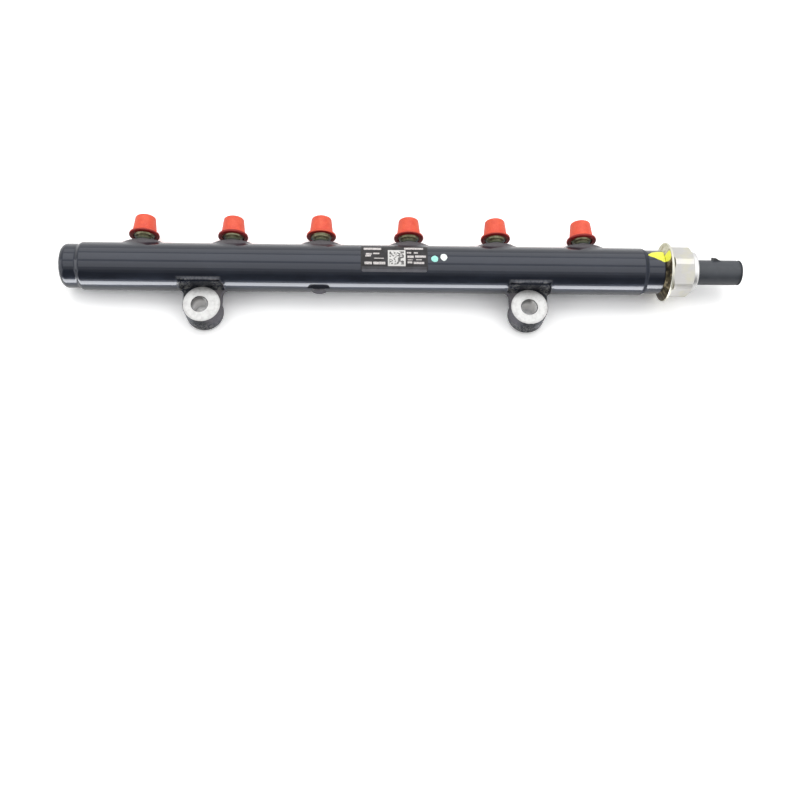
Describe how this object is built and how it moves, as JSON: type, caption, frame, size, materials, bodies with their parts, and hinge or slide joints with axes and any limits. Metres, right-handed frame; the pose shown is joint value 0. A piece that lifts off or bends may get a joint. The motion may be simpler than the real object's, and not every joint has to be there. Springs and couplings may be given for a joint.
{
  "type": "fuel rail",
  "caption": "Painted forged-steel high-pressure fuel rail: a thick tube with a row of capped threaded ports, two bolt eyes and a screwed-in pressure sensor with a plug.",
  "frame": {"origin": "half-way between the two bolt holes, on the plane of the eyes' seat faces", "axes": "+X along the tube towards the pressure sensor, +Y from the bolt holes towards the capped ports, +Z along the bolt axes, away from the seats"},
  "size_m": [0.3946, 0.0658, 0.0344],
  "materials": {
    "black_paint": "gloss",
    "red_cap": "satin",
    "yellow_zinc": "satin",
    "bright_steel": "satin",
    "crimp_steel": "polished",
    "cell_steel": "satin",
    "board_laminate": "satin",
    "ring_plastic": "matte",
    "seal_rubber": "matte",
    "plug_plastic": "satin",
    "terminal_tin": "satin",
    "label_film": "satin"
  },
  "bodies": {
    "root": {"rail_body": "black_paint", "port_cap_1": "red_cap", "port_cap_2": "red_cap", "port_cap_3": "red_cap", "port_cap_4": "red_cap", "port_cap_5": "red_cap", "port_cap_6": "red_cap", "cone_washer": "yellow_zinc", "sensor_hex": "bright_steel", "pressure_cell": "cell_steel", "circuit_board": "board_laminate", "board_ring": "ring_plastic", "seal_ring": "seal_rubber", "crimp_collar": "crimp_steel", "plug_housing": "plug_plastic", "terminal_1": "terminal_tin", "terminal_2": "terminal_tin", "terminal_3": "terminal_tin", "label": "label_film"}
  },
  "joints": []
}
